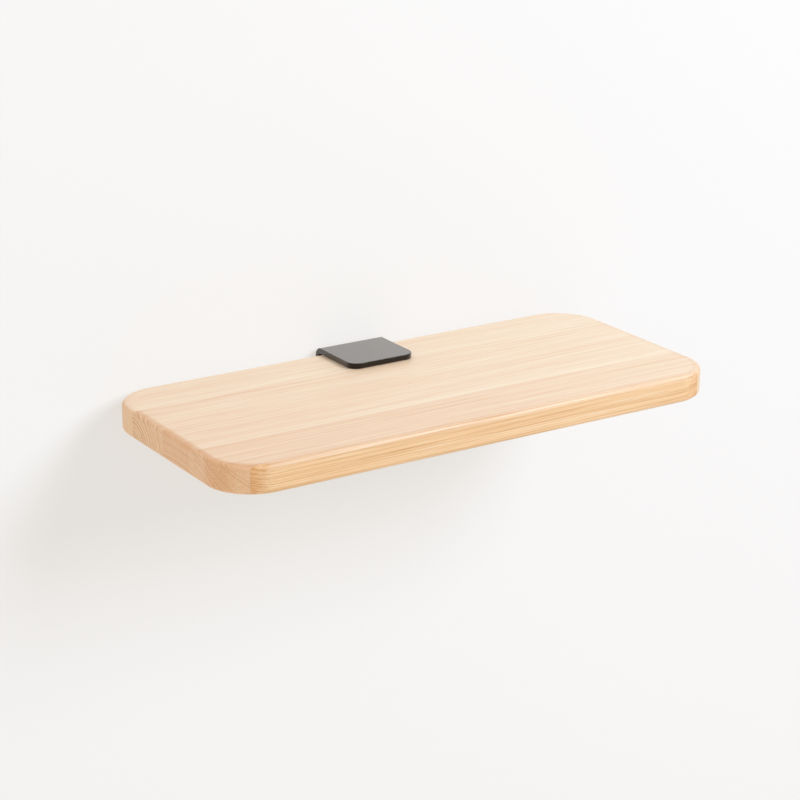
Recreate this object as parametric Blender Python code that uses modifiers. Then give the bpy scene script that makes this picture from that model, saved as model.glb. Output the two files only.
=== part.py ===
"""Bracket shelf: an edge-glued hardwood board gripped by one folded steel bracket.

Metres, +Z up. The origin is the middle of the bracket's back face, which lies on the wall.
+X runs along the shelf and +Y points into the wall, so the board is at negative Y.
"""

import math

import bmesh
import bpy
from mathutils import Matrix

MM = 0.001

# Board
BOARD_LENGTH = 400 * MM
BOARD_DEPTH = 180 * MM
BOARD_THICKNESS = 20 * MM
BOARD_CORNER_RADIUS = 34 * MM
BOARD_EDGE_RADIUS = 3.2 * MM
FRONT_STRIP_WIDTH = 4.7 * MM
STAVE_WIDTH = 44.3 * MM
NARROWEST_BACK_STAVE = 20 * MM
GLUE_GAP = 0.3 * MM

# Bracket, with its lengths measured from the wall
BRACKET_WIDTH = 54 * MM
STEEL_THICKNESS = 4 * MM
BEND_RADIUS = 2.5 * MM
TAB_LENGTH = 51.5 * MM
TAB_CORNER_RADIUS = 8 * MM
STEEL_EDGE_RADIUS = 0.5 * MM
ARM_PAST_LAST_SCREW = 15 * MM

# Screws through the back plate into the wall
WALL_SCREW_FROM_SIDE = 12 * MM
WALL_SCREW_DIAMETER = 5 * MM
WALL_SCREW_LENGTH = 45 * MM
WALL_SCREW_POINT = 7 * MM
WALL_HEAD_DIAMETER = 10 * MM
WALL_HEAD_HEIGHT = 1.9 * MM
WALL_HEAD_RIM = 0.7 * MM
WALL_HOLE_CLEARANCE = 0.5 * MM

# Screws through the arm into the board, one in each of the rear staves
SHELF_SCREW_COUNT = 3
SHELF_SCREW_DIAMETER = 4 * MM
SHELF_SCREW_POINT = 5 * MM
SHELF_HEAD_DIAMETER = 8 * MM
SHELF_HEAD_RIM = 0.4 * MM
WOOD_ABOVE_SCREW = 4.3 * MM

# Cross recess in every screw head
RECESS_SPAN = 4.4 * MM
RECESS_WIDTH = 1.1 * MM
RECESS_DEPTH = 1.4 * MM

# Air between pieces that rest on each other, and how far cutters run past what they cut
FIT_GAP = 0.3 * MM
CUT_MARGIN = 5 * MM

# Facets
CORNER_SEGMENTS = 14
EDGE_SEGMENTS = 4
BEND_SEGMENTS = 8
TURNED_SEGMENTS = 20

# Places that follow from the sizes above
BOARD_BACK = -(STEEL_THICKNESS + WALL_HEAD_HEIGHT + 2 * FIT_GAP)
BOARD_FRONT = BOARD_BACK - BOARD_DEPTH
BOARD_TOP = BOARD_THICKNESS / 2
STEEL_INNER = BOARD_TOP + FIT_GAP
STEEL_OUTER = STEEL_INNER + STEEL_THICKNESS

PART_NAME = "bracket_shelf"
STEEL_COLOUR = (30, 28, 26)
ZINC_COLOUR = (176, 178, 182)
STAVE_COLOURS = ((237, 204, 164), (240, 207, 166), (241, 208, 168), (236, 199, 156), (238, 200, 155))


def clear_scene():
    for item in list(bpy.data.objects):
        bpy.data.objects.remove(item, do_unlink=True)


def make_collection(name):
    collection = bpy.data.collections.new(name)
    bpy.context.scene.collection.children.link(collection)
    return collection


def linear(channel):
    """One channel of a display colour, 0 to 255, as linear light."""
    value = channel / 255
    return value / 12.92 if value <= 0.04045 else ((value + 0.055) / 1.055) ** 2.4


def make_material(name, colour, roughness, metallic=0.0):
    material = bpy.data.materials.new(name)
    material.use_nodes = True
    shader = material.node_tree.nodes["Principled BSDF"]
    shader.inputs["Base Color"].default_value = [linear(c) for c in colour] + [1.0]
    shader.inputs["Roughness"].default_value = roughness
    shader.inputs["Metallic"].default_value = metallic
    return material


def make_mesh(name, bm):
    mesh = bpy.data.meshes.new(name)
    bm.to_mesh(mesh)
    bm.free()
    mesh.shade_smooth()
    return mesh


def add_part(name, mesh, material, location=(0, 0, 0), rotation=(0, 0, 0)):
    """A named piece of the shelf, hung on the shelf's empty."""
    part = bpy.data.objects.new(name, mesh)
    parts.objects.link(part)
    part.location = location
    part.rotation_euler = rotation
    part.parent = root
    if not mesh.materials:
        mesh.materials.append(material)
    return part


def add_cutter(name, mesh, location=(0, 0, 0), rotation=(0, 0, 0)):
    cutter = bpy.data.objects.new(name, mesh)
    cutters.objects.link(cutter)
    cutter.location = location
    cutter.rotation_euler = rotation
    cutter.hide_render = True
    cutter.display_type = "WIRE"
    return cutter


def cut(target, cutter, operation="DIFFERENCE"):
    boolean = target.modifiers.new(cutter.name, "BOOLEAN")
    boolean.operation = operation
    boolean.solver = "EXACT"
    boolean.object = cutter


def round_edges(target, radius, segments):
    bevel = target.modifiers.new("round edges", "BEVEL")
    bevel.width = radius
    bevel.segments = segments
    bevel.limit_method = "ANGLE"
    bevel.angle_limit = math.radians(50)


def block_mesh(name, size):
    bm = bmesh.new()
    bmesh.ops.create_cube(bm, size=1, matrix=Matrix.Diagonal((*size, 1)))
    return make_mesh(name, bm)


def rod_mesh(name, radius, low, high):
    """A round bar along Z, from low to high."""
    bm = bmesh.new()
    bmesh.ops.create_cone(bm, cap_ends=True, segments=TURNED_SEGMENTS, radius1=radius, radius2=radius,
                          depth=high - low, matrix=Matrix.Translation((0, 0, (low + high) / 2)))
    return make_mesh(name, bm)


def profile_mesh(name, points):
    """A line of (radius, height) points in the XZ plane, to be turned about Z."""
    bm = bmesh.new()
    line = [bm.verts.new((radius, 0, height)) for radius, height in points]
    for start, end in zip(line, line[1:]):
        bm.edges.new((start, end))
    return make_mesh(name, bm)


def turn(target):
    screw = target.modifiers.new("turn", "SCREW")
    screw.axis = "Z"
    screw.angle = 2 * math.pi
    screw.steps = TURNED_SEGMENTS
    screw.render_steps = TURNED_SEGMENTS
    screw.use_merge_vertices = True
    screw.merge_threshold = 0.00001
    return target


def finished_mesh(shape, name):
    """The mesh that a shape's modifiers give, for pieces that share it."""
    graph = bpy.context.evaluated_depsgraph_get()
    mesh = bpy.data.meshes.new_from_object(shape.evaluated_get(graph))
    mesh.name = name
    mesh.shade_smooth()
    mesh.set_sharp_from_angle(angle=math.radians(35))
    bpy.data.objects.remove(shape)
    return mesh


def stave_bounds():
    """Back and front Y of each stave, from the wall forwards, with the glue gaps taken off.

    The panel is laid up from its front strip backwards, and the back stave takes what is left.
    """
    lines = [BOARD_FRONT + FRONT_STRIP_WIDTH]
    while lines[0] + STAVE_WIDTH < BOARD_BACK - NARROWEST_BACK_STAVE:
        lines.insert(0, lines[0] + STAVE_WIDTH)
    backs = [BOARD_BACK] + [line - GLUE_GAP / 2 for line in lines]
    fronts = [line + GLUE_GAP / 2 for line in lines] + [BOARD_FRONT]
    return list(zip(backs, fronts))


def board_blank():
    """The whole board, square-edged, with its four corners rounded in plan."""
    bm = bmesh.new()
    size = Matrix.Diagonal((BOARD_LENGTH, BOARD_DEPTH, BOARD_THICKNESS, 1))
    bmesh.ops.create_cube(bm, size=1, matrix=size)
    upright = [e for e in bm.edges if abs(e.verts[0].co.z - e.verts[1].co.z) > BOARD_THICKNESS / 2]
    bmesh.ops.bevel(bm, geom=upright, offset=BOARD_CORNER_RADIUS, segments=CORNER_SEGMENTS,
                    profile=0.5, affect="EDGES")
    return bm


def make_staves():
    """Each stave is the rounded board between two glue lines, with its pilot hole."""
    for number, (back, front) in enumerate(stave_bounds(), 1):
        name = f"stave_{number}"
        colour = STAVE_COLOURS[(number - 1) % len(STAVE_COLOURS)]
        wood = make_material(f"{name}_wood", colour, 0.5)
        stave = add_part(name, make_mesh(name, board_blank()), wood,
                         location=(0, (BOARD_BACK + BOARD_FRONT) / 2, 0))
        round_edges(stave, BOARD_EDGE_RADIUS, EDGE_SEGMENTS)
        slab_back = back + (CUT_MARGIN if back == BOARD_BACK else 0)
        slab_front = front - (CUT_MARGIN if front == BOARD_FRONT else 0)
        slab_size = (BOARD_LENGTH + 2 * CUT_MARGIN, slab_back - slab_front, BOARD_THICKNESS + 2 * CUT_MARGIN)
        slab = add_cutter(f"{name}_slab", block_mesh(f"{name}_slab", slab_size),
                          location=(0, (slab_back + slab_front) / 2, 0))
        cut(stave, slab, "INTERSECT")
        if number <= SHELF_SCREW_COUNT:
            pilot = rod_mesh(f"{name}_pilot", SHELF_SCREW_DIAMETER / 2 + FIT_GAP,
                             -BOARD_TOP - CUT_MARGIN, BOARD_TOP - WOOD_ABOVE_SCREW + FIT_GAP)
            cut(stave, add_cutter(f"{name}_pilot", pilot, location=(0, (back + front) / 2, 0)))


def shelf_screw_places():
    """Y of each shelf screw: the middle of the stave that it holds."""
    return [(back + front) / 2 for back, front in stave_bounds()[:SHELF_SCREW_COUNT]]


def bracket_line():
    """The middle of the steel, as (y, z) from the tab's front edge round to the arm's front edge."""
    radius = BEND_RADIUS + STEEL_THICKNESS / 2
    bend_y = -(STEEL_THICKNESS + BEND_RADIUS)
    bend_z = STEEL_INNER - BEND_RADIUS
    turns = [math.pi / 2 * i / BEND_SEGMENTS for i in range(BEND_SEGMENTS + 1)]
    upper = [(bend_y + radius * math.sin(a), bend_z + radius * math.cos(a)) for a in turns]
    lower = [(y, -z) for y, z in reversed(upper)]
    level = STEEL_INNER + STEEL_THICKNESS / 2
    arm_length = ARM_PAST_LAST_SCREW - shelf_screw_places()[-1]
    return [(-TAB_LENGTH, level)] + upper + lower + [(-arm_length, -level)]


def bracket_sheet():
    """The folded strip without thickness, with the corners of tab and arm rounded."""
    bm = bmesh.new()
    line = [bm.verts.new((-BRACKET_WIDTH / 2, y, z)) for y, z in bracket_line()]
    edges = [bm.edges.new(pair) for pair in zip(line, line[1:])]
    swept = bmesh.ops.extrude_edge_only(bm, edges=edges)["geom"]
    far_side = [v for v in swept if isinstance(v, bmesh.types.BMVert)]
    bmesh.ops.translate(bm, verts=far_side, vec=(BRACKET_WIDTH, 0, 0))
    corners = [v for v in bm.verts if len(v.link_faces) == 1]
    bmesh.ops.bevel(bm, geom=corners, offset=TAB_CORNER_RADIUS, segments=BEND_SEGMENTS,
                    profile=0.5, affect="VERTICES")
    bmesh.ops.recalc_face_normals(bm, faces=bm.faces)
    return bm


def make_bracket():
    steel = make_material("black_powder_coat", STEEL_COLOUR, 0.45)
    bracket = add_part("bracket", make_mesh("bracket", bracket_sheet()), steel)
    solidify = bracket.modifiers.new("steel thickness", "SOLIDIFY")
    solidify.thickness = STEEL_THICKNESS
    solidify.offset = 0
    solidify.use_even_offset = True
    round_edges(bracket, STEEL_EDGE_RADIUS, 2)
    hole = rod_mesh("wall_hole", WALL_SCREW_DIAMETER / 2 + WALL_HOLE_CLEARANCE,
                    -STEEL_THICKNESS - CUT_MARGIN, CUT_MARGIN)
    for side, x in wall_screw_places():
        cut(bracket, add_cutter(f"wall_hole_{side}", hole, (x, 0, 0), (-math.pi / 2, 0, 0)))
    for number, y in enumerate(shelf_screw_places(), 1):
        cut(bracket, arm_hole(f"arm_hole_{number}", y))


def arm_hole(name, y):
    """A countersunk hole through the arm, open below."""
    hole_radius = SHELF_SCREW_DIAMETER / 2 + FIT_GAP
    mouth_radius = SHELF_HEAD_DIAMETER / 2 + FIT_GAP
    cone_low = -STEEL_OUTER + SHELF_HEAD_RIM
    top = -STEEL_INNER + CUT_MARGIN
    bottom = -STEEL_OUTER - CUT_MARGIN
    points = [(0, top), (hole_radius, top), (hole_radius, cone_low + mouth_radius - hole_radius),
              (mouth_radius, cone_low), (mouth_radius, bottom), (0, bottom)]
    return turn(add_cutter(name, profile_mesh(name, points), (0, y, 0)))


def wall_screw_places():
    """Side and X of each wall screw."""
    right = BRACKET_WIDTH / 2 - WALL_SCREW_FROM_SIDE
    return [("left", -right), ("right", right)]


def screw_mesh(name, points):
    """A screw that points up from the origin at its head's face, with a cross recess in that face."""
    shape = turn(add_cutter(name, profile_mesh(name, points)))
    for arm, size in (("x", (RECESS_SPAN, RECESS_WIDTH)), ("y", (RECESS_WIDTH, RECESS_SPAN))):
        slot = block_mesh(f"{name}_recess_{arm}", (*size, 2 * RECESS_DEPTH))
        cut(shape, add_cutter(f"{name}_recess_{arm}", slot))
    return finished_mesh(shape, name)


def make_wall_screws():
    """Low-headed screws, whose heads sit between the back plate and the board."""
    zinc = make_material("zinc_plate", ZINC_COLOUR, 0.35, 1.0)
    radius = WALL_SCREW_DIAMETER / 2
    head = WALL_HEAD_DIAMETER / 2
    tip = WALL_HEAD_HEIGHT + WALL_SCREW_LENGTH
    crown = WALL_HEAD_HEIGHT - WALL_HEAD_RIM
    points = [(0, tip), (radius, tip - WALL_SCREW_POINT), (radius, WALL_HEAD_HEIGHT),
              (head, WALL_HEAD_HEIGHT), (head, crown), (head - crown, 0), (0, 0)]
    mesh = screw_mesh("wall_screw", points)
    face_y = BOARD_BACK + FIT_GAP
    for side, x in wall_screw_places():
        add_part(f"wall_screw_{side}", mesh, zinc, (x, face_y, 0), (-math.pi / 2, 0, 0))


def make_shelf_screws():
    """Countersunk screws, flush with the underside of the arm."""
    zinc = make_material("bright_zinc_plate", ZINC_COLOUR, 0.3, 1.0)
    radius = SHELF_SCREW_DIAMETER / 2
    head = SHELF_HEAD_DIAMETER / 2
    tip = BOARD_TOP - WOOD_ABOVE_SCREW + STEEL_OUTER
    points = [(0, tip), (radius, tip - SHELF_SCREW_POINT), (radius, SHELF_HEAD_RIM + head - radius),
              (head, SHELF_HEAD_RIM), (head, 0), (0, 0)]
    mesh = screw_mesh("shelf_screw", points)
    for number, y in enumerate(shelf_screw_places(), 1):
        add_part(f"shelf_screw_{number}", mesh, zinc, (0, y, -STEEL_OUTER))


clear_scene()
parts = make_collection(PART_NAME)
cutters = make_collection("cutters")
root = bpy.data.objects.new(PART_NAME, None)
parts.objects.link(root)

make_staves()
make_bracket()
make_wall_screws()
make_shelf_screws()
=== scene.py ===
import math

import bmesh
import bpy
from mathutils import Matrix, Vector


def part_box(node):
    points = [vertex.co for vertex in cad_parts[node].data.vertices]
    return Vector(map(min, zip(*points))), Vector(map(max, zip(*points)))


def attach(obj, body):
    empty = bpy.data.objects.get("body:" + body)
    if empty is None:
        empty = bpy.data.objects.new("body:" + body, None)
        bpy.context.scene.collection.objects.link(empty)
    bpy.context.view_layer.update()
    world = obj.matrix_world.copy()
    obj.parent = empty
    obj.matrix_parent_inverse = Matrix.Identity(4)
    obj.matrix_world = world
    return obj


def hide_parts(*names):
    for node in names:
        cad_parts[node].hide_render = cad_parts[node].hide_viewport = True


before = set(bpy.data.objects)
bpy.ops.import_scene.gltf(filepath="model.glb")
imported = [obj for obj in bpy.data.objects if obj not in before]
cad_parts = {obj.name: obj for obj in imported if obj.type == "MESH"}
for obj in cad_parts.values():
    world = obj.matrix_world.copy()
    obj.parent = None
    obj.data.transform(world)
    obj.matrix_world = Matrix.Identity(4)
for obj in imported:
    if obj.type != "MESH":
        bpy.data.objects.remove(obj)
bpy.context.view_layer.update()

# Looks of a small wall shelf: a board of five glued staves, a folded steel bracket and five screws

MM = 0.001

# Distance within which points are merged, smallest divisor, and weight that keeps flat faces flat
MERGE_DISTANCE = 0.01 * MM
SMALLEST_DIVISOR = 0.01
FLAT_FACE_WEIGHT = 100

# Board, with its outline and glue lines taken from the frame. Edges that turn more than the rim angle are
# rounded, and those that turn more than the sharp angle are shaded as sharp ones (degrees).
STAVES = ["stave_1", "stave_2", "stave_3", "stave_4", "stave_5"]
FRONT_STRIP = STAVES[-1]
STAVE_BOXES = [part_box(name) for name in STAVES]
BOARD_LOW = Vector(min(low[i] for low, high in STAVE_BOXES) for i in range(3))
BOARD_HIGH = Vector(max(high[i] for low, high in STAVE_BOXES) for i in range(3))
BOARD_CORNER_RADIUS = 34 * MM
BOARD_EDGE_RADIUS = 3.2 * MM
GLUE_LINE = 0.04 * MM
BOARD_RIM_ANGLE = 60
BOARD_SHARP_ANGLE = 25
CORNER_SEGMENTS = 36
EDGE_SEGMENTS = 8

# Bracket, with edges rounded and shaded in the same way
BRACKET_LOW, BRACKET_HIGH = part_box("bracket")
STEEL_THICKNESS = 4 * MM
BEND_RADIUS = 2.5 * MM
TAB_LENGTH = 51.5 * MM
TAB_CORNER_RADIUS = 8 * MM
STEEL_EDGE_RADIUS = 0.5 * MM
STEEL_EDGE_ANGLE = 50
STEEL_EDGE_SEGMENTS = 3
STEEL_SHARP_ANGLE = 35
BEND_SEGMENTS = 16
WALL_HOLE_RADIUS = 3 * MM

# Screws
WALL_SCREWS = ["wall_screw_left", "wall_screw_right"]
SHELF_SCREWS = ["shelf_screw_1", "shelf_screw_2", "shelf_screw_3"]
SHELF_SHANK_RADIUS = 2 * MM
SHELF_HEAD_RADIUS = 4 * MM
SHELF_HEAD_RIM = 0.4 * MM
SHELF_HEAD_CHAMFER = 0.15 * MM
SHELF_NECK = 2 * MM
SHELF_POINT = 5 * MM
SHELF_PITCH = 1.8 * MM
WALL_SHANK_RADIUS = 2.5 * MM
WALL_HEAD_RADIUS = 5 * MM
WALL_HEAD_HEIGHT = 1.9 * MM
WALL_HEAD_RIM = 0.7 * MM
WALL_NECK = 9 * MM
WALL_POINT = 7 * MM
WALL_PITCH = 2.2 * MM
RECESS_SPAN = 4.4 * MM
RECESS_WIDTH = 1.1 * MM
RECESS_DEPTH = 1.4 * MM
SCREW_CLEARANCE = 0.3 * MM
SCREW_SHARP_ANGLE = 35
ROUND_SEGMENTS = 32
DOME_SEGMENTS = 6

# Thread: rows of points in a turn, its core's share of the radius and half a ridge's share of the pitch
ROWS_PER_TURN = 10
CORE_SHARE = 0.68
RIDGE_SHARE = 0.32

# Camera, solved from the board's outline in the photograph
CAMERA_PLACE = (-0.8248, -1.3462, 0.5131)
CAMERA_YAW = math.radians(32.928)
CAMERA_PITCH = math.radians(19.051)
CAMERA_ROLL = math.radians(0.373)
CAMERA_LENS = 100.93
CAMERA_SENSOR = 36.0

# Stage: the wall's gap behind the bracket, how far the wall and floor reach (m), depth and strength of their
# relief, their paint and even glow, and the distances between which the floor fades (mm)
WALL_GAP = 0.4 * MM
WALL_REACH = 3
WALL_TOP = 2.4
WALL_DEPTH = 0.02 * MM
WALL_BUMP = 0.3
WALL_PAINT = (0.176, 0.193, 0.226, 1)
WALL_GLOW = (0.642, 0.603, 0.545, 1)
FLOOR_LEVEL = -0.6
FLOOR_REACH = 4
FLOOR_FADE = (900, 3600)
FLOOR_DEPTH = 0.05 * MM
FLOOR_BUMP = 0.2
FLOOR_PAINT = (0.92, 0.915, 0.91, 1)
FLOOR_SHADE = (0.45, 0.45, 0.45, 1)
FLOOR_GLOW = (0.47, 0.465, 0.46, 1)
FAR_GLOW = (0.94, 0.93, 0.925, 1)

# Light: the backdrop's colour, the strength of the world, and the lamps (m, degrees and watts)
BACKDROP = (0.95, 0.94, 0.935, 1)
WORLD_LIGHT = 0.75
LAMP_DISTANCE = 3.0
KEY_LAMP = {"azimuth": 50, "elevation": 44, "size": 0.7, "power": 36.0}
WALL_LAMP = {"azimuth": 30, "elevation": 32, "size": 1.35, "power": 117.5}

# Noise patterns: how often they repeat along each axis (per mm), detail, roughness and shift of the seed.
# The rays fan out from the pith, so theirs repeat by angle and by distance from it. A seed moves a pattern
# by these steps along x, y and z.
SEED_STEPS = (1.0, 1.7, 2.3)
PATTERNS = {
    "bends": ((0.005, 0.022, 0.022), 1.0, 0.5, 0.0),
    "fibres": ((0.011, 0.8, 0.8), 3.0, 0.6, 0.0),
    "pores": ((0.06, 4.2, 4.2), 2.0, 0.6, 5.0),
    "streaks": ((0.007, 0.42, 0.42), 2.0, 0.6, 8.0),
    "clouds": ((0.004, 0.07, 0.07), 1.0, 0.5, 11.0),
    "rays": ((70, 0.12, 0), 2.0, 0.6, 17.0),
    "specks": ((0.4, 2.6, 2.6), 2.0, 0.7, 23.0),
    "powder_peel": ((1.1, 1.1, 1.1), 2.0, 0.45, 2.0),
    "powder_grit": ((5, 5, 5), 1.0, 0.5, 9.0),
    "powder_cloud": ((0.03, 0.03, 0.03), 2.0, 0.5, 4.0),
    "zinc_bloom": ((0.35, 0.35, 0.35), 3.0, 0.6, 1.0),
    "zinc_scratches": ((6, 6, 1.2), 2.0, 0.5, 6.0),
    "wall_roller": ((0.25, 0.25, 0.25), 3.0, 0.5, 3.0),
    "floor_cloud": ((0.01, 0.01, 0.01), 2.0, 0.5, 5.0),
}

# Colours of the wood from its lightest to its darkest tone: of the board, and of the front strip's face,
# which is partly its own colour and partly painted shade for the less light it gets than the strip's top
PALE = (0.935, 0.79, 0.61, 1)
MIDDLE = (0.835, 0.575, 0.38, 1)
DARK = (0.695, 0.388, 0.196, 1)
STRIP_PALE = (0.95, 0.65, 0.375, 1)
STRIP_MIDDLE = (0.76, 0.45, 0.21, 1)
STRIP_DARK = (0.50, 0.235, 0.08, 1)
BOARD_COLOURS = [(0.0, PALE), (0.5, MIDDLE), (1.0, DARK)]
STRIP_GRAIN_AND_SHADE_COLOURS = [(0.0, PALE), (0.22, STRIP_PALE), (0.6, STRIP_MIDDLE), (1.0, STRIP_DARK)]

# Wood of each stave: where its pith lies (y and z, mm), how its grain leans (degrees), ring width (mm),
# strength of the ring lines on the faces and on the ends, strength of the finer grain, of the specks on the
# ends, of the painted shade on the top near the ends, tones from its back to its front side, tone added
# across its ends, tone added at the left and right end as painted light (a slope from a darker left end to a
# paler right end), and the seed of its patterns. Tones run across y (1), or, on the front strip, across z
# (2), from its top to its underside; there the paler tones just below the top are a painted highlight.
WOODS = {
    "stave_1": {"pith": (-20, -120), "lean": (0.4, 0.2), "ring": 3.2, "lines": (0.12, 0.12), "grain": 1.0,
                "specks": 0.5, "edge_shade": 0.25, "across": 1,
                "tones": [(0.0, 0.27), (0.6, 0.22), (0.78, 0.20), (0.86, 0.12), (1.0, 0.14)],
                "ends": [(0.0, 0.0), (1.0, 0.0)], "along": (0.07, -0.09), "seed": 3.1},
    "stave_2": {"pith": (-46, -14), "lean": (-0.5, 0.3), "ring": 2.5, "lines": (0.30, 1.0), "grain": 1.0,
                "specks": 0.5, "edge_shade": 0.9, "across": 1,
                "tones": [(0.0, 0.28), (0.4, 0.21), (0.7, 0.22), (1.0, 0.24)],
                "ends": [(0.0, -0.12), (0.8, -0.12), (1.0, -0.16)], "along": (0.10, -0.12), "seed": 7.9},
    "stave_3": {"pith": (-112, -170), "lean": (0.3, -0.4), "ring": 8.0, "lines": (0.12, 0.4), "grain": 1.0,
                "specks": 0.4, "edge_shade": 1.0, "across": 1,
                "tones": [(0.0, 0.26), (0.5, 0.24), (0.8, 0.21), (0.87, 0.12), (1.0, 0.13)],
                "ends": [(0.0, 0.06), (0.8, 0.10), (0.9, 0.10), (1.0, 0.06)],
                "along": (0.08, -0.10), "seed": 12.4},
    "stave_4": {"pith": (-128, -52), "lean": (0.5, 0.5), "ring": 3.8, "lines": (0.08, 0.30), "grain": 1.0,
                "specks": 1.1, "edge_shade": 1.0, "across": 1,
                "tones": [(0.0, 0.36), (0.5, 0.32), (0.9, 0.30), (0.95, 0.40), (1.0, 0.42)],
                "ends": [(0.0, -0.12), (0.28, -0.12), (0.4, 0.12), (0.75, 0.10), (0.88, -0.06),
                         (0.94, -0.16), (1.0, -0.28)],
                "along": (0.09, -0.11), "seed": 17.2},
    "stave_5": {"pith": (-60, -240), "lean": (0.25, 0.3), "ring": 1.9, "lines": (0.40, 0.75), "grain": 0.95,
                "specks": 0.4, "edge_shade": 0.4, "across": 2,
                # Painted highlight: the paler tones just below the top (0.045 to 0.08) lie on the rounded
                # front edge
                "tones": [(0.0, 0.37), (0.012, 0.33), (0.03, 0.30), (0.045, 0.25), (0.08, 0.25),
                          (0.12, 0.28), (0.17, 0.18), (0.25, 0.18), (0.35, 0.20), (0.45, 0.27),
                          (0.55, 0.29), (0.65, 0.20), (0.75, 0.21), (0.85, 0.26), (1.0, 0.27)],
                "ends": [(0.0, 0.09), (1.0, 0.09)], "along": (0.07, 0.02), "seed": 21.6},
}

# Growth rings: how far the grain bends (mm), how fast and by how many rings their spacing drifts, how a
# ring darkens from its inner to its outer side, and the strength of the faintest ring
BEND_REACH = (0, 5, 5)
DRIFT_SPEED = 0.11
DRIFT_RINGS = 3.0
RING_PROFILE = [(0.0, 0.1), (0.5, 0.0), (0.74, 0.3), (0.88, 1.0), (0.95, 0.7), (1.0, 0.1)]
FAINTEST_RING = 0.25

# How much each pattern swings the tone, and the share of the long grain that is left on the ends
STREAK_SWING = 0.2
FIBRE_SWING = 0.5
PORE_SWING = 0.25
CLOUD_SWING = 0.1
RAY_SWING = 0.12
GRAIN_ON_ENDS = 0.4

# End grain: its tint at the left and right end (the end grain's own tint, darker at the right end as painted
# shade), the tint of its rings, and how far a surface turns to the side (x of its normal) where end grain
# starts and is full
END_GRAIN_AND_SHADE_TINTS = (1.04, 0.85, 0.655, 1), (0.90, 0.79, 0.64, 1)
END_RING = (0.68, 0.56, 0.45, 1)
END_TURN = (0.15, 0.65)

# Painted shade on the top near the ends, in a band inside the rounded edge: its tint, the distances from the
# outline where it starts and is full (mm), how far the outline turns to the side there, and its strength at
# the left and right end, which also goes for the corners and the gloss of the front strip
EDGE_SHADE_TINT = (0.865, 0.69, 0.53, 1)
EDGE_SHADE_INSET = (7.2, 3.6)
EDGE_SHADE_TURN = (0.1, 0.5)
SHADE_AND_DULL_SIDES = (1.0, 0.2)

# The front strip's face colours, partly its own colour and partly painted shade for the less light the face
# gets than its top: the shares of its height below the top where they start and are full, how much of them
# shows on the top, and how far the outline turns to the side where they fill its corners
STRIP_DEPTH = (0.07, 0.18)
STRIP_ON_TOP = 0.16
STRIP_TURN = (0.03, 0.2)

# The front strip's gloss fades towards the ends: where this starts and is full (mm from the middle), and
# how much it adds to the roughness
DULL_REACH = (95, 135)
DULL_ROUGHNESS = 0.4

# Relief of the wood, with the shares of fibres and rings in it, and gloss from its low to its high parts
FIBRE_RELIEF = 0.5
RING_RELIEF = -0.3
GRAIN_RANGE = (0.3, 1.2)
WOOD_ROUGHNESS = (0.40, 0.27)
GRAIN_DEPTH = 0.03 * MM
GRAIN_BUMP = 0.6
WOOD_IOR = 1.45

# Powder coat and zinc: colours, how much their two patterns swing the shade and the roughness, depth and
# strength of the relief, and the shader's values that are the same all over
POWDER_COLOURS = [(0.0, (0.008, 0.005, 0.0025, 1)), (1.0, (0.012, 0.0075, 0.004, 1))]
POWDER_SHADE_SWINGS = (0.3, 0.25)
POWDER_ROUGHNESS = 0.20
POWDER_ROUGHNESS_SWINGS = (0.04, 0.05)
GRIT_RELIEF = 0.25
POWDER_DEPTH = 0.05 * MM
POWDER_BUMP = 0.5
POWDER_SHADER = {"IOR": 1.5, "Specular Tint": (0, 0, 0, 1), "Coat Weight": 1.0, "Coat Roughness": 0.10,
                 "Coat IOR": 1.36, "Sheen Weight": 1.0, "Sheen Roughness": 0.3,
                 "Sheen Tint": (1.0, 0.90, 0.82, 1)}
ZINC_COLOURS = [(0.0, (0.50, 0.52, 0.56, 1)), (1.0, (0.70, 0.70, 0.68, 1))]
ZINC_SHADE_SWINGS = (0.35, 0.2)
ZINC_ROUGHNESS = 0.30
ZINC_ROUGHNESS_SWINGS = (0.08, 0.06)
ZINC_DEPTH = 0.02 * MM
ZINC_BUMP = 0.4
ZINC_SHADER = {"Metallic": 1.0}


def make_mesh_object(name, bm):
    mesh = bpy.data.meshes.new(name)
    bm.to_mesh(mesh)
    bm.free()
    piece = bpy.data.objects.new(name, mesh)
    bpy.context.scene.collection.objects.link(piece)
    return piece


def apply_modifiers(piece):
    graph = bpy.context.evaluated_depsgraph_get()
    mesh = bpy.data.meshes.new_from_object(piece.evaluated_get(graph))
    piece.modifiers.clear()
    piece.data = mesh


def cut_out(piece, cutters):
    """Takes the cutters' shapes out of a piece and removes the cutters."""
    for cutter in cutters:
        boolean = piece.modifiers.new(cutter.name, "BOOLEAN")
        boolean.operation = "DIFFERENCE"
        boolean.object = cutter
    apply_modifiers(piece)
    for cutter in cutters:
        bpy.data.objects.remove(cutter)


def smooth(piece, angle):
    """Smooth shading, with flat faces kept flat and edges over the angle kept sharp."""
    piece.data.shade_smooth()
    piece.data.set_sharp_from_angle(angle=math.radians(angle))
    weighted = piece.modifiers.new("flat faces", "WEIGHTED_NORMAL")
    weighted.keep_sharp = True
    weighted.weight = FLAT_FACE_WEIGHT


def rod(name, radius, low, high):
    """A round cutter along Z."""
    bm = bmesh.new()
    bmesh.ops.create_cone(bm, cap_ends=True, segments=ROUND_SEGMENTS, radius1=radius, radius2=radius,
                          depth=high - low, matrix=Matrix.Translation((0, 0, (low + high) / 2)))
    return make_mesh_object(name, bm)


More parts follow.
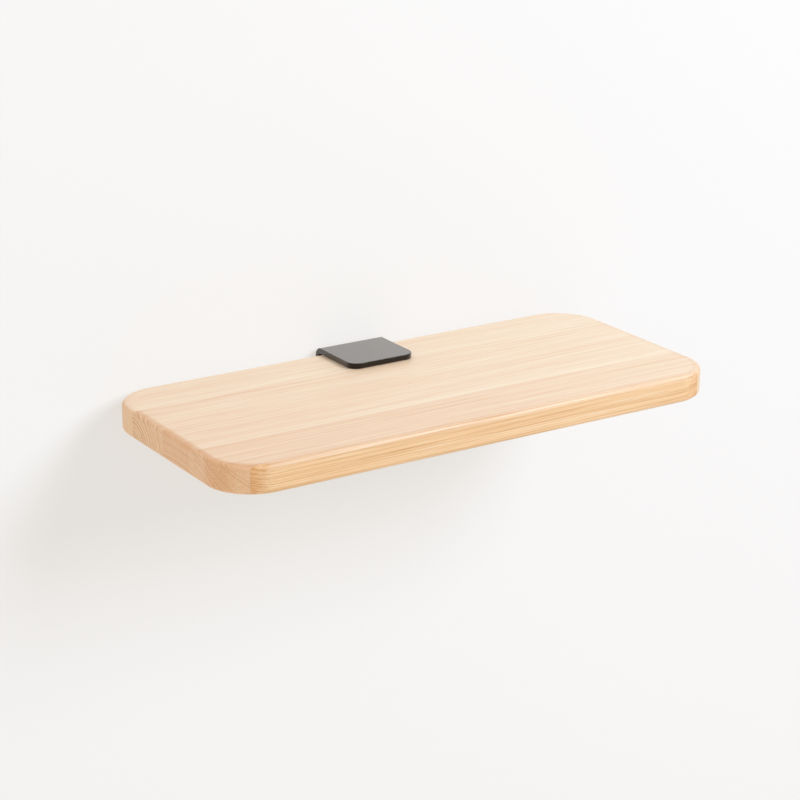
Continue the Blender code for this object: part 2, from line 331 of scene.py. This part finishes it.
def turned(points):
    """A closed shape turned about Z from (radius, height) points that run down its outer side."""
    bm = bmesh.new()
    line = [bm.verts.new((radius, 0, height)) for radius, height in points]
    edges = [bm.edges.new(pair) for pair in zip(line, line[1:])]
    bmesh.ops.spin(bm, geom=line + edges, cent=(0, 0, 0), axis=(0, 0, 1), angle=2 * math.pi,
                   steps=ROUND_SEGMENTS, use_merge=True)
    bmesh.ops.remove_doubles(bm, verts=bm.verts[:], dist=MERGE_DISTANCE)
    bmesh.ops.recalc_face_normals(bm, faces=bm.faces[:])
    return bm


def fix_to_frame(piece, node, material):
    piece.data.materials.clear()
    piece.data.materials.append(material)
    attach(piece, "root")
    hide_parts(node)


class Graph:
    """The nodes of one material. Inputs are sockets or plain values."""

    def __init__(self, name):
        self.material = bpy.data.materials.new(name)
        self.material.use_nodes = True
        self.tree = self.material.node_tree
        self.shader = self.tree.nodes["Principled BSDF"]

    def node(self, kind, values=(), **settings):
        node = self.tree.nodes.new(kind)
        for key, setting in settings.items():
            setattr(node, key, setting)
        for key, value in dict(values).items():
            self.feed(node.inputs[key], value)
        return node

    def feed(self, socket, value):
        if isinstance(value, bpy.types.NodeSocket):
            self.tree.links.new(value, socket)
        else:
            socket.default_value = value

    def math(self, operation, *values, clamp=False):
        node = self.node("ShaderNodeMath", enumerate(values), operation=operation, use_clamp=clamp)
        return node.outputs[0]

    def total(self, *values):
        result = values[0]
        for value in values[1:]:
            result = self.math("ADD", result, value)
        return result

    def vector(self, operation, *values):
        return self.node("ShaderNodeVectorMath", enumerate(values), operation=operation).outputs[0]

    def length(self, vector):
        return self.node("ShaderNodeVectorMath", {0: vector}, operation="LENGTH").outputs["Value"]

    def parts(self, vector):
        return self.node("ShaderNodeSeparateXYZ", {0: vector}).outputs

    def pattern(self, name, place, seed=0.0):
        """One of the noise patterns listed under PATTERNS."""
        stretch, detail, roughness, shift = PATTERNS[name]
        offset = [(seed + shift) * step for step in SEED_STEPS]
        spot = self.vector("MULTIPLY_ADD", place, stretch, offset)
        return self.node("ShaderNodeTexNoise", {"Vector": spot, "Scale": 1.0, "Detail": detail,
                                                "Roughness": roughness})

    def swing(self, noise, size):
        """A pattern's value as a swing about zero."""
        return self.math("MULTIPLY_ADD", noise.outputs["Fac"], 2 * size, -size)

    def swung(self, middle, noises, sizes):
        """A value that swings about its middle with several patterns."""
        return self.total(middle, *(self.swing(noise, size) for noise, size in zip(noises, sizes)))

    def span(self, value, low, high, to_low=0.0, to_high=1.0, smoothly=False):
        """A value's way from low to high, as a way from to_low to to_high."""
        values = {"Value": value, "From Min": low, "From Max": high, "To Min": to_low, "To Max": to_high}
        kind = "SMOOTHSTEP" if smoothly else "LINEAR"
        return self.node("ShaderNodeMapRange", values, interpolation_type=kind).outputs["Result"]

    def ramp(self, value, stops):
        node = self.node("ShaderNodeValToRGB", {"Fac": value})
        elements = node.color_ramp.elements
        while len(elements) < len(stops):
            elements.new(1.0)
        for element, (position, colour) in zip(elements, stops):
            element.position = position
            element.color = colour if isinstance(colour, tuple) else (colour, colour, colour, 1)
        return node.outputs["Color"]

    def mix(self, factor, first, second, blend="MIX"):
        # The colour sockets of this node share their names with others, so they go by number
        values = {0: factor, 6: first, 7: second}
        return self.node("ShaderNodeMix", values, data_type="RGBA", blend_type=blend).outputs[2]

    def tint(self, factor, colour, tint):
        """A colour multiplied by a tint, as far as the factor says."""
        return self.mix(factor, colour, self.mix(1.0, colour, tint, blend="MULTIPLY"))

    def bump(self, height, depth, strength):
        node = self.node("ShaderNodeBump", {"Height": height, "Distance": depth, "Strength": strength})
        return node.outputs["Normal"]

    def place_in_mm(self):
        place = self.node("ShaderNodeTexCoord").outputs["Object"]
        return self.vector("MULTIPLY", place, (1 / MM, 1 / MM, 1 / MM))

    def set_shader(self, values):
        for name, value in values.items():
            self.shader.inputs[name].default_value = value


def inside_outline(g, place):
    """Distance (mm) in from the board's outline, and how much the nearest outline faces left or right."""
    radius = BOARD_CORNER_RADIUS / MM
    middle = (BOARD_HIGH + BOARD_LOW) / 2 / MM
    straight = (BOARD_HIGH - BOARD_LOW) / 2 / MM - Vector((radius, radius, 0))
    centred = g.vector("ABSOLUTE", g.vector("SUBTRACT", place, middle))
    beyond = g.vector("MAXIMUM", g.vector("SUBTRACT", centred, straight), (0, 0, 0))
    flat = g.vector("MULTIPLY", beyond, (1, 1, 0))
    reach = g.length(flat)
    endwise = g.math("DIVIDE", g.parts(flat)["X"], g.math("MAXIMUM", reach, SMALLEST_DIVISOR))
    return g.math("SUBTRACT", radius, reach), endwise


def from_end_to_end(g, x, left=0.0, right=1.0):
    """A value that changes evenly from the board's left end to its right end."""
    return g.span(x, BOARD_LOW.x / MM, BOARD_HIGH.x / MM, left, right)


def from_pith(g, wood, place):
    """A place as seen from the pith of a stave whose grain leans, and its distance from the pith."""
    lean_z, lean_y = (math.radians(angle) for angle in wood["lean"])
    pith_y, pith_z = wood["pith"]
    leaning = g.node("ShaderNodeMapping", {"Vector": place, "Rotation": (0, lean_y, lean_z),
                                           "Location": (0, -pith_y, -pith_z)}).outputs[0]
    return leaning, g.length(g.vector("MULTIPLY", leaning, (0, 1, 1)))


def growth_rings(g, wood, radial):
    """Growth rings of uneven width and strength, each darkening outwards and ending sharply."""
    seed = wood["seed"]
    drift_place = g.math("MULTIPLY_ADD", radial, DRIFT_SPEED, seed)
    drift = g.node("ShaderNodeTexNoise", {"W": drift_place, "Scale": 1.0, "Detail": 1.0},
                   noise_dimensions="1D").outputs["Fac"]
    rings = g.math("MULTIPLY_ADD", drift, DRIFT_RINGS, g.math("DIVIDE", radial, wood["ring"]))
    number = g.math("FLOOR", rings)
    chance = g.node("ShaderNodeTexWhiteNoise", {"W": g.math("ADD", number, seed)},
                    noise_dimensions="1D").outputs["Value"]
    profile = g.ramp(g.math("FRACT", rings), RING_PROFILE)
    return g.math("MULTIPLY", profile, g.span(chance, 0, 1, FAINTEST_RING, 1.0))


def end_tones(g, wood, place, width, leaning, radial):
    """Tones of the end grain: their change across the stave, rays from the pith, and specks."""
    leaning_parts = g.parts(leaning)
    turn = g.math("ARCTAN2", leaning_parts["Z"], leaning_parts["Y"])
    ray_place = g.node("ShaderNodeCombineXYZ", {"X": turn, "Y": radial}).outputs[0]
    rays = g.pattern("rays", ray_place, wood["seed"])
    specks = g.pattern("specks", place, wood["seed"])
    deepest = max(abs(tone) for position, tone in wood["ends"]) + SMALLEST_DIVISOR
    stops = [(position, 0.5 + tone / deepest / 2) for position, tone in wood["ends"]]
    across = g.math("MULTIPLY_ADD", g.ramp(width, stops), 2 * deepest, -deepest)
    return g.total(across, g.swing(rays, RAY_SWING), g.swing(specks, wood["specks"]))


def make_wood(name, wood, box):
    g = Graph(f"{name}_ash")
    place = g.place_in_mm()
    seed = wood["seed"]

    # Rings about the pith, with slow bends of the grain
    bends = g.vector("SUBTRACT", g.pattern("bends", place, seed).outputs["Color"], (0.5, 0.5, 0.5))
    bent = g.vector("MULTIPLY_ADD", bends, BEND_REACH, place)
    leaning, radial = from_pith(g, wood, bent)
    ring_line = growth_rings(g, wood, radial)

    # Fibres, pores and slow changes of tone along and across the stave, and painted light: a tone slope from
    # a darker left end to a paler right end
    fibres = g.pattern("fibres", place, seed)
    pores = g.pattern("pores", place, seed)
    streaks = g.pattern("streaks", place, seed)
    clouds = g.pattern("clouds", place, seed)
    axis = wood["across"]
    spot = g.parts(bent if axis == 1 else place)
    width = g.span(spot[axis], box[1][axis] / MM, box[0][axis] / MM)
    ground = g.ramp(width, wood["tones"])
    along = from_end_to_end(g, spot[0], *wood["along"])

    # Tone, with end grain where the surface turns across the fibres
    normal = g.node("ShaderNodeNewGeometry").outputs["Normal"]
    facing = g.math("ABSOLUTE", g.parts(normal)["X"])
    end = g.span(facing, *END_TURN, smoothly=True)
    cut_ends = end_tones(g, wood, place, width, leaning, radial)
    lines = g.math("MULTIPLY", ring_line, g.span(end, 0, 1, *wood["lines"]))
    long_grain = g.total(g.swing(streaks, STREAK_SWING), g.swing(fibres, FIBRE_SWING),
                         g.swing(pores, PORE_SWING))
    grain_share = g.span(end, 0, 1, wood["grain"], GRAIN_ON_ENDS * wood["grain"])
    grain_tone = g.math("MULTIPLY", long_grain, grain_share)
    tone = g.total(ground, along, lines, grain_tone, g.swing(clouds, CLOUD_SWING),
                   g.math("MULTIPLY", cut_ends, end))

    # Colour, with the front strip's face colours on its face, partly its own colour and partly painted shade
    colour = g.ramp(tone, BOARD_COLOURS)
    inset, endwise = inside_outline(g, place)
    side = from_end_to_end(g, spot[0], *SHADE_AND_DULL_SIDES)
    if name == FRONT_STRIP:
        at_corner = g.math("MULTIPLY", side, g.span(endwise, *STRIP_TURN))
        face = g.math("MAXIMUM", g.span(width, *STRIP_DEPTH, STRIP_ON_TOP, 1.0), at_corner)
        colour = g.mix(face, colour, g.ramp(tone, STRIP_GRAIN_AND_SHADE_COLOURS))

    # Painted shade on the top near the ends, and the tints of the end grain and its rings
    near_outline = g.span(inset, *EDGE_SHADE_INSET, smoothly=True)
    edge_shade_band = g.math("MULTIPLY", near_outline, g.span(endwise, *EDGE_SHADE_TURN))
    strength = g.math("MULTIPLY", side, g.span(end, 0, 1, wood["edge_shade"], 0.0))
    colour = g.tint(g.math("MULTIPLY", edge_shade_band, strength), colour, EDGE_SHADE_TINT)
    # The end grain's tint, darker at the right end than at the left as painted shade
    colour = g.tint(end, colour, g.mix(from_end_to_end(g, spot[0]), *END_GRAIN_AND_SHADE_TINTS))
    darker = g.math("MULTIPLY", g.math("MULTIPLY", ring_line, end), wood["lines"][1], clamp=True)
    g.feed(g.shader.inputs["Base Color"], g.mix(darker, colour, END_RING, blend="MULTIPLY"))

    # Gloss and relief
    grain = g.total(pores.outputs["Fac"], g.math("MULTIPLY", fibres.outputs["Fac"], FIBRE_RELIEF),
                    g.math("MULTIPLY", ring_line, RING_RELIEF))
    roughness = g.span(grain, *GRAIN_RANGE, *WOOD_ROUGHNESS)
    if name == FRONT_STRIP:
        dull = g.span(g.math("ABSOLUTE", spot[0]), *DULL_REACH, 0.0, DULL_ROUGHNESS)
        roughness = g.math("MULTIPLY_ADD", dull, side, roughness)
    g.feed(g.shader.inputs["Roughness"], roughness)
    g.feed(g.shader.inputs["Normal"], g.bump(grain, GRAIN_DEPTH, GRAIN_BUMP))
    g.set_shader({"IOR": WOOD_IOR})
    return g.material


def make_powder_coat():
    g = Graph("black_powder_coat")
    place = g.place_in_mm()
    peel = g.pattern("powder_peel", place)
    grit = g.pattern("powder_grit", place)
    cloud = g.pattern("powder_cloud", place)
    shade = g.swung(0.5, (cloud, grit), POWDER_SHADE_SWINGS)
    roughness = g.swung(POWDER_ROUGHNESS, (cloud, grit), POWDER_ROUGHNESS_SWINGS)
    height = g.total(peel.outputs["Fac"], g.math("MULTIPLY", grit.outputs["Fac"], GRIT_RELIEF))
    g.feed(g.shader.inputs["Base Color"], g.ramp(shade, POWDER_COLOURS))
    g.feed(g.shader.inputs["Roughness"], roughness)
    g.feed(g.shader.inputs["Normal"], g.bump(height, POWDER_DEPTH, POWDER_BUMP))
    g.set_shader(POWDER_SHADER)
    return g.material


def make_zinc():
    g = Graph("bright_zinc")
    place = g.place_in_mm()
    bloom = g.pattern("zinc_bloom", place)
    scratches = g.pattern("zinc_scratches", place)
    shade = g.swung(0.5, (bloom, scratches), ZINC_SHADE_SWINGS)
    roughness = g.swung(ZINC_ROUGHNESS, (bloom, scratches), ZINC_ROUGHNESS_SWINGS)
    g.feed(g.shader.inputs["Base Color"], g.ramp(shade, ZINC_COLOURS))
    g.feed(g.shader.inputs["Roughness"], roughness)
    g.feed(g.shader.inputs["Normal"], g.bump(scratches.outputs["Fac"], ZINC_DEPTH, ZINC_BUMP))
    g.set_shader(ZINC_SHADER)
    return g.material


def whole_board():
    """The board before it is cut into staves: corners rounded in plan, then every edge."""
    size = BOARD_HIGH - BOARD_LOW
    middle = (BOARD_HIGH + BOARD_LOW) / 2
    bm = bmesh.new()
    bmesh.ops.create_cube(bm, size=1, matrix=Matrix.Translation(middle) @ Matrix.Diagonal((*size, 1)))
    upright = [e for e in bm.edges if abs(e.verts[0].co.z - e.verts[1].co.z) > size.z / 2]
    bmesh.ops.bevel(bm, geom=upright, offset=BOARD_CORNER_RADIUS, segments=CORNER_SEGMENTS,
                    profile=0.5, affect="EDGES")
    rims = [e for e in bm.edges if abs(e.calc_face_angle(0)) > math.radians(BOARD_RIM_ANGLE)]
    bmesh.ops.bevel(bm, geom=rims, offset=BOARD_EDGE_RADIUS, segments=EDGE_SEGMENTS,
                    profile=0.5, affect="EDGES")
    return bm


def trim(bm, y, keep_front):
    """Cuts a board at a glue line, keeps one side and closes it."""
    away = (0, 1, 0) if keep_front else (0, -1, 0)
    everything = bm.verts[:] + bm.edges[:] + bm.faces[:]
    found = bmesh.ops.bisect_plane(bm, geom=everything, plane_co=(0, y, 0), plane_no=away, clear_outer=True)
    loop = [e for e in found["geom_cut"] if isinstance(e, bmesh.types.BMEdge)]
    bmesh.ops.contextual_create(bm, geom=loop)


def glue_lines():
    """Y of each glue line: the middle of the gap between two staves' boxes."""
    return [(STAVE_BOXES[i][0][1] + STAVE_BOXES[i + 1][1][1]) / 2 for i in range(len(STAVES) - 1)]


def make_staves():
    lines = glue_lines()
    for i, name in enumerate(STAVES):
        bm = whole_board()
        if i > 0:
            trim(bm, lines[i - 1] - GLUE_LINE / 2, keep_front=True)
        if i < len(lines):
            trim(bm, lines[i] + GLUE_LINE / 2, keep_front=False)
        piece = make_mesh_object(f"{name}_wood", bm)
        # The rear staves hold one shelf screw each
        if i < len(SHELF_SCREWS):
            low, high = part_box(SHELF_SCREWS[i])
            pilot = rod(f"{name}_pilot", SHELF_SHANK_RADIUS + SCREW_CLEARANCE,
                        BOARD_LOW.z - SCREW_CLEARANCE, high[2] + SCREW_CLEARANCE)
            pilot.location = (0, (low[1] + high[1]) / 2, 0)
            cut_out(piece, [pilot])
        smooth(piece, BOARD_SHARP_ANGLE)
        fix_to_frame(piece, name, make_wood(name, WOODS[name], STAVE_BOXES[i]))


def bracket_line():
    """The middle of the steel, as (y, z) from the tab's front edge round to the arm's front edge."""
    level = BRACKET_HIGH[2] - STEEL_THICKNESS / 2
    radius = BEND_RADIUS + STEEL_THICKNESS / 2
    bend_y = -(STEEL_THICKNESS + BEND_RADIUS)
    turns = [math.pi / 2 * i / BEND_SEGMENTS for i in range(BEND_SEGMENTS + 1)]
    upper = [(bend_y + radius * math.sin(a), level - radius + radius * math.cos(a)) for a in turns]
    lower = [(y, -z) for y, z in reversed(upper)]
    return [(-TAB_LENGTH, level)] + upper + lower + [(BRACKET_LOW[1], -level)]


def wall_holes():
    holes = []
    for name in WALL_SCREWS:
        low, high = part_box(name)
        hole = rod(f"{name}_hole", WALL_HOLE_RADIUS, -2 * STEEL_THICKNESS, STEEL_THICKNESS)
        hole.location = ((low[0] + high[0]) / 2, 0, 0)
        hole.rotation_euler = (-math.pi / 2, 0, 0)
        holes.append(hole)
    return holes


def arm_holes():
    """Countersunk holes: each screw's own outline with clearance, run past both faces of the arm."""
    holes = []
    for name in SHELF_SCREWS:
        low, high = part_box(name)
        shank = SHELF_SHANK_RADIUS + SCREW_CLEARANCE
        mouth = SHELF_HEAD_RADIUS + SCREW_CLEARANCE
        cone = low[2] + SHELF_HEAD_RIM
        above = low[2] + 2 * STEEL_THICKNESS
        below = low[2] - STEEL_THICKNESS
        points = [(0, above), (shank, above), (shank, cone + mouth - shank), (mouth, cone), (mouth, below),
                  (0, below)]
        hole = make_mesh_object(f"{name}_hole", turned(points))
        hole.location = (0, (low[1] + high[1]) / 2, 0)
        holes.append(hole)
    return holes


def make_bracket():
    bm = bmesh.new()
    line = [bm.verts.new((BRACKET_LOW[0], y, z)) for y, z in bracket_line()]
    edges = [bm.edges.new(pair) for pair in zip(line, line[1:])]
    swept = bmesh.ops.extrude_edge_only(bm, edges=edges)["geom"]
    far_side = [v for v in swept if isinstance(v, bmesh.types.BMVert)]
    bmesh.ops.translate(bm, verts=far_side, vec=(BRACKET_HIGH[0] - BRACKET_LOW[0], 0, 0))
    corners = [v for v in bm.verts if len(v.link_faces) == 1]
    bmesh.ops.bevel(bm, geom=corners, offset=TAB_CORNER_RADIUS, segments=BEND_SEGMENTS,
                    profile=0.5, affect="VERTICES")
    bmesh.ops.recalc_face_normals(bm, faces=bm.faces)
    piece = make_mesh_object("bracket_steel", bm)
    solidify = piece.modifiers.new("thickness", "SOLIDIFY")
    solidify.thickness = STEEL_THICKNESS
    solidify.offset = 0
    solidify.use_even_offset = True
    bevel = piece.modifiers.new("edges", "BEVEL")
    bevel.width = STEEL_EDGE_RADIUS
    bevel.segments = STEEL_EDGE_SEGMENTS
    bevel.limit_method = "ANGLE"
    bevel.angle_limit = math.radians(STEEL_EDGE_ANGLE)
    cut_out(piece, wall_holes() + arm_holes())
    smooth(piece, STEEL_SHARP_ANGLE)
    fix_to_frame(piece, "bracket", make_powder_coat())


def join_rings(bm, lower, upper):
    for i in range(ROUND_SEGMENTS):
        k = (i + 1) % ROUND_SEGMENTS
        bm.faces.new((lower[i], lower[k], upper[k], upper[i]))


def close_ring(bm, ring, z):
    """Faces from a ring to a point on the axis."""
    point = bm.verts.new((0, 0, z))
    for i in range(ROUND_SEGMENTS):
        bm.faces.new((ring[i], ring[(i + 1) % ROUND_SEGMENTS], point))


def threaded_shank(bm, start, plain_end, tip, point, radius, pitch):
    """A screw's shank along Z: a plain neck, then a thread that fades in, and a tapered point."""
    count = math.ceil((tip - start) / pitch * ROWS_PER_TURN)
    core = CORE_SHARE * radius
    rows = []
    for j in range(count):
        z = start + (tip - start) * j / count
        taper = min(1.0, (tip - z) / point)
        fade = min(1.0, max(0.0, (z - plain_end) / pitch))
        row = []
        for i in range(ROUND_SEGMENTS):
            turn = i / ROUND_SEGMENTS
            angle = 2 * math.pi * turn
            phase = (z / pitch - turn) % 1.0
            ridge = fade * max(0.0, 1 - abs(phase - 0.5) / RIDGE_SHARE)
            reach = (core + (radius - core) * ridge) * taper
            row.append(bm.verts.new((reach * math.cos(angle), reach * math.sin(angle), z)))
        rows.append(row)
    for lower, upper in zip(rows, rows[1:]):
        join_rings(bm, lower, upper)
    close_ring(bm, rows[-1], tip)
    return rows[0]


def cross_recess(name):
    """Two crossed blocks that cut a driver's recess into a head with its face at zero."""
    blocks = []
    for arm, size in (("x", (RECESS_SPAN, RECESS_WIDTH)), ("y", (RECESS_WIDTH, RECESS_SPAN))):
        bm = bmesh.new()
        bmesh.ops.create_cube(bm, size=1, matrix=Matrix.Diagonal((*size, 2 * RECESS_DEPTH, 1)))
        blocks.append(make_mesh_object(f"{name}_recess_{arm}", bm))
    return blocks


def make_screw_mesh(name, head, neck, plain_end, tip, point, radius, pitch):
    """A screw along Z, its head's face at zero: head points run from the face's rim to the neck."""
    bm = bmesh.new()
    ring = threaded_shank(bm, neck, plain_end, tip, point, radius, pitch)
    turns = [2 * math.pi * i / ROUND_SEGMENTS for i in range(ROUND_SEGMENTS)]
    for reach, z in reversed(head):
        outer = [bm.verts.new((reach * math.cos(a), reach * math.sin(a), z)) for a in turns]
        join_rings(bm, outer, ring)
        ring = outer
    close_ring(bm, ring, 0)
    bmesh.ops.recalc_face_normals(bm, faces=bm.faces[:])
    screw = make_mesh_object(name, bm)
    cut_out(screw, cross_recess(name))
    smooth(screw, SCREW_SHARP_ANGLE)
    return screw


def copy_of(piece, name):
    twin = piece.copy()
    twin.name = name
    bpy.context.scene.collection.objects.link(twin)
    return twin


def make_screw_row(names, shape, stand, material):
    """Screws of one kind: the first has the shape, and the others are copies that share its mesh."""
    screw = None
    for name in names:
        label = f"{name}_zinc"
        if screw:
            screw = copy_of(screw, label)
        else:
            screw = make_screw_mesh(label, **shape)
        stand(screw, *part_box(name))
        fix_to_frame(screw, name, material)


def stand_in_wall(screw, low, high):
    screw.location = ((low[0] + high[0]) / 2, low[1], 0)
    screw.rotation_euler = (-math.pi / 2, 0, 0)


def stand_in_arm(screw, low, high):
    screw.location = (0, (low[1] + high[1]) / 2, low[2])


def wall_screw_shape():
    low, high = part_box(WALL_SCREWS[0])
    crown = WALL_HEAD_HEIGHT - WALL_HEAD_RIM
    turns = [math.pi / 2 * i / DOME_SEGMENTS for i in range(DOME_SEGMENTS + 1)]
    dome = [(WALL_HEAD_RADIUS - crown * (1 - math.sin(a)), crown * (1 - math.cos(a))) for a in turns]
    head = dome + [(WALL_HEAD_RADIUS, WALL_HEAD_HEIGHT)]
    return {"head": head, "neck": WALL_HEAD_HEIGHT, "plain_end": WALL_HEAD_HEIGHT + WALL_NECK,
            "tip": high[1] - low[1], "point": WALL_POINT, "radius": WALL_SHANK_RADIUS, "pitch": WALL_PITCH}


def shelf_screw_shape():
    low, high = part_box(SHELF_SCREWS[0])
    neck = SHELF_HEAD_RIM + SHELF_HEAD_RADIUS - CORE_SHARE * SHELF_SHANK_RADIUS
    head = [(SHELF_HEAD_RADIUS - SHELF_HEAD_CHAMFER, 0), (SHELF_HEAD_RADIUS, SHELF_HEAD_CHAMFER),
            (SHELF_HEAD_RADIUS, SHELF_HEAD_RIM)]
    return {"head": head, "neck": neck, "plain_end": neck + SHELF_NECK, "tip": high[2] - low[2],
            "point": SHELF_POINT, "radius": SHELF_SHANK_RADIUS, "pitch": SHELF_PITCH}


def make_screws():
    zinc = make_zinc()
    make_screw_row(WALL_SCREWS, wall_screw_shape(), stand_in_wall, zinc)
    make_screw_row(SHELF_SCREWS, shelf_screw_shape(), stand_in_arm, zinc)


def make_plane(name, corners):
    bm = bmesh.new()
    bm.faces.new([bm.verts.new(corner) for corner in corners])
    return make_mesh_object(name, bm)


def make_wall_material():
    """White paint. Part of its light is even, so that shadows stay soft, and its back is see-through."""
    g = Graph("white_wall")
    tree = g.tree
    tree.nodes.remove(g.shader)
    roller = g.pattern("wall_roller", g.place_in_mm())
    uneven = g.bump(roller.outputs["Fac"], WALL_DEPTH, WALL_BUMP)
    paint = g.node("ShaderNodeBsdfDiffuse", {"Color": WALL_PAINT, "Normal": uneven})
    glow = g.node("ShaderNodeEmission", {"Color": WALL_GLOW, "Strength": 1.0})
    shade = g.node("ShaderNodeAddShader", {0: paint.outputs[0], 1: glow.outputs[0]})
    clear = g.node("ShaderNodeBsdfTransparent")
    behind = g.node("ShaderNodeNewGeometry").outputs["Backfacing"]
    whole = g.node("ShaderNodeMixShader", {0: behind, 1: shade.outputs[0], 2: clear.outputs[0]})
    g.feed(tree.nodes["Material Output"].inputs["Surface"], whole.outputs[0])
    return g.material


def make_floor_material():
    """Pale floor. It lights the object as paint, fades from sight with distance, and its back is clear."""
    g = Graph("pale_floor")
    tree = g.tree
    tree.nodes.remove(g.shader)
    place = g.place_in_mm()
    uneven = g.bump(g.pattern("floor_cloud", place).outputs["Fac"], FLOOR_DEPTH, FLOOR_BUMP)
    paint = g.node("ShaderNodeBsdfDiffuse", {"Color": FLOOR_PAINT, "Normal": uneven})
    shade = g.node("ShaderNodeBsdfDiffuse", {"Color": FLOOR_SHADE, "Normal": uneven})
    glow = g.node("ShaderNodeEmission", {"Color": FLOOR_GLOW, "Strength": 1.0})
    near = g.node("ShaderNodeAddShader", {0: shade.outputs[0], 1: glow.outputs[0]})
    far = g.node("ShaderNodeEmission", {"Color": FAR_GLOW, "Strength": 1.0})
    fade = g.span(g.length(place), *FLOOR_FADE, smoothly=True)
    pale = g.node("ShaderNodeMixShader", {0: fade, 1: near.outputs[0], 2: far.outputs[0]})
    path = g.node("ShaderNodeLightPath").outputs
    rays = g.total(path["Is Camera Ray"], path["Is Glossy Ray"], path["Is Transmission Ray"])
    seen = g.math("MINIMUM", rays, 1.0)
    front = g.node("ShaderNodeMixShader", {0: seen, 1: paint.outputs[0], 2: pale.outputs[0]})
    clear = g.node("ShaderNodeBsdfTransparent")
    behind = g.node("ShaderNodeNewGeometry").outputs["Backfacing"]
    whole = g.node("ShaderNodeMixShader", {0: behind, 1: front.outputs[0], 2: clear.outputs[0]})
    g.feed(tree.nodes["Material Output"].inputs["Surface"], whole.outputs[0])
    return g.material


def make_stage():
    wide, top = WALL_REACH, WALL_TOP
    wall = make_plane("stage_wall", [(-wide, WALL_GAP, FLOOR_LEVEL), (wide, WALL_GAP, FLOOR_LEVEL),
                                     (wide, WALL_GAP, top), (-wide, WALL_GAP, top)])
    wall.data.materials.append(make_wall_material())
    wall.visible_diffuse = False
    wall.visible_shadow = False
    far = FLOOR_REACH
    floor = make_plane("stage_floor", [(-far, -far, FLOOR_LEVEL), (far, -far, FLOOR_LEVEL),
                                       (far, far, FLOOR_LEVEL), (-far, far, FLOOR_LEVEL)])
    floor.data.materials.append(make_floor_material())
    return wall


def make_lamp(name, azimuth, elevation, size, power):
    lamp = bpy.data.lights.new(name, "AREA")
    lamp.size = size
    lamp.energy = power
    holder = bpy.data.objects.new(name, lamp)
    bpy.context.scene.collection.objects.link(holder)
    turn, rise = math.radians(azimuth), math.radians(elevation)
    towards = Vector((math.cos(rise) * math.sin(turn), -math.cos(rise) * math.cos(turn), math.sin(rise)))
    holder.location = (BOARD_LOW + BOARD_HIGH) / 2 + LAMP_DISTANCE * towards
    holder.rotation_euler = towards.to_track_quat("Z", "Y").to_euler()
    return holder


def share_light(lamp, wall, state):
    """Makes a lamp light only the wall, or everything but the wall."""
    lamp.light_linking.receiver_collection = bpy.data.collections.new(f"{lamp.name}_share")
    lamp.light_linking.receiver_collection.objects.link(wall)
    lamp.light_linking.receiver_collection.collection_objects[0].light_linking.link_state = state


def make_world():
    """Even white light, with a pale backdrop where the world itself is seen."""
    world = bpy.data.worlds.new("studio")
    world.use_nodes = True
    nodes, links = world.node_tree.nodes, world.node_tree.links
    soft = nodes["Background"]
    soft.inputs["Color"].default_value = (1, 1, 1, 1)
    soft.inputs["Strength"].default_value = WORLD_LIGHT
    backdrop = nodes.new("ShaderNodeBackground")
    backdrop.inputs["Color"].default_value = BACKDROP
    backdrop.inputs["Strength"].default_value = 1.0
    path = nodes.new("ShaderNodeLightPath")
    seen = path.outputs["Is Camera Ray"]
    for kind in ("Is Glossy Ray", "Is Transmission Ray"):
        add = nodes.new("ShaderNodeMath")
        add.operation = "ADD"
        add.use_clamp = True
        links.new(seen, add.inputs[0])
        links.new(path.outputs[kind], add.inputs[1])
        seen = add.outputs[0]
    mix = nodes.new("ShaderNodeMixShader")
    links.new(seen, mix.inputs[0])
    links.new(soft.outputs[0], mix.inputs[1])
    links.new(backdrop.outputs[0], mix.inputs[2])
    links.new(mix.outputs[0], nodes["World Output"].inputs["Surface"])
    bpy.context.scene.world = world


def make_lamps(wall):
    """A soft key lamp for the object and a softer one for the wall."""
    share_light(make_lamp("key_lamp", **KEY_LAMP), wall, "EXCLUDE")
    share_light(make_lamp("wall_lamp", **WALL_LAMP), wall, "INCLUDE")


def make_camera():
    camera = bpy.data.cameras.new("photo_camera")
    camera.sensor_width = CAMERA_SENSOR
    camera.lens = CAMERA_LENS
    view = bpy.data.objects.new("photo_camera", camera)
    bpy.context.scene.collection.objects.link(view)
    turn = (Matrix.Rotation(-CAMERA_YAW, 4, "Z") @ Matrix.Rotation(math.pi / 2 - CAMERA_PITCH, 4, "X")
            @ Matrix.Rotation(CAMERA_ROLL, 4, "Z"))
    view.matrix_world = Matrix.Translation(CAMERA_PLACE) @ turn
    bpy.context.scene.camera = view


bpy.context.scene.view_settings.view_transform = "Standard"
make_staves()
make_bracket()
make_screws()
stage_wall = make_stage()
make_world()
make_lamps(stage_wall)
make_camera()
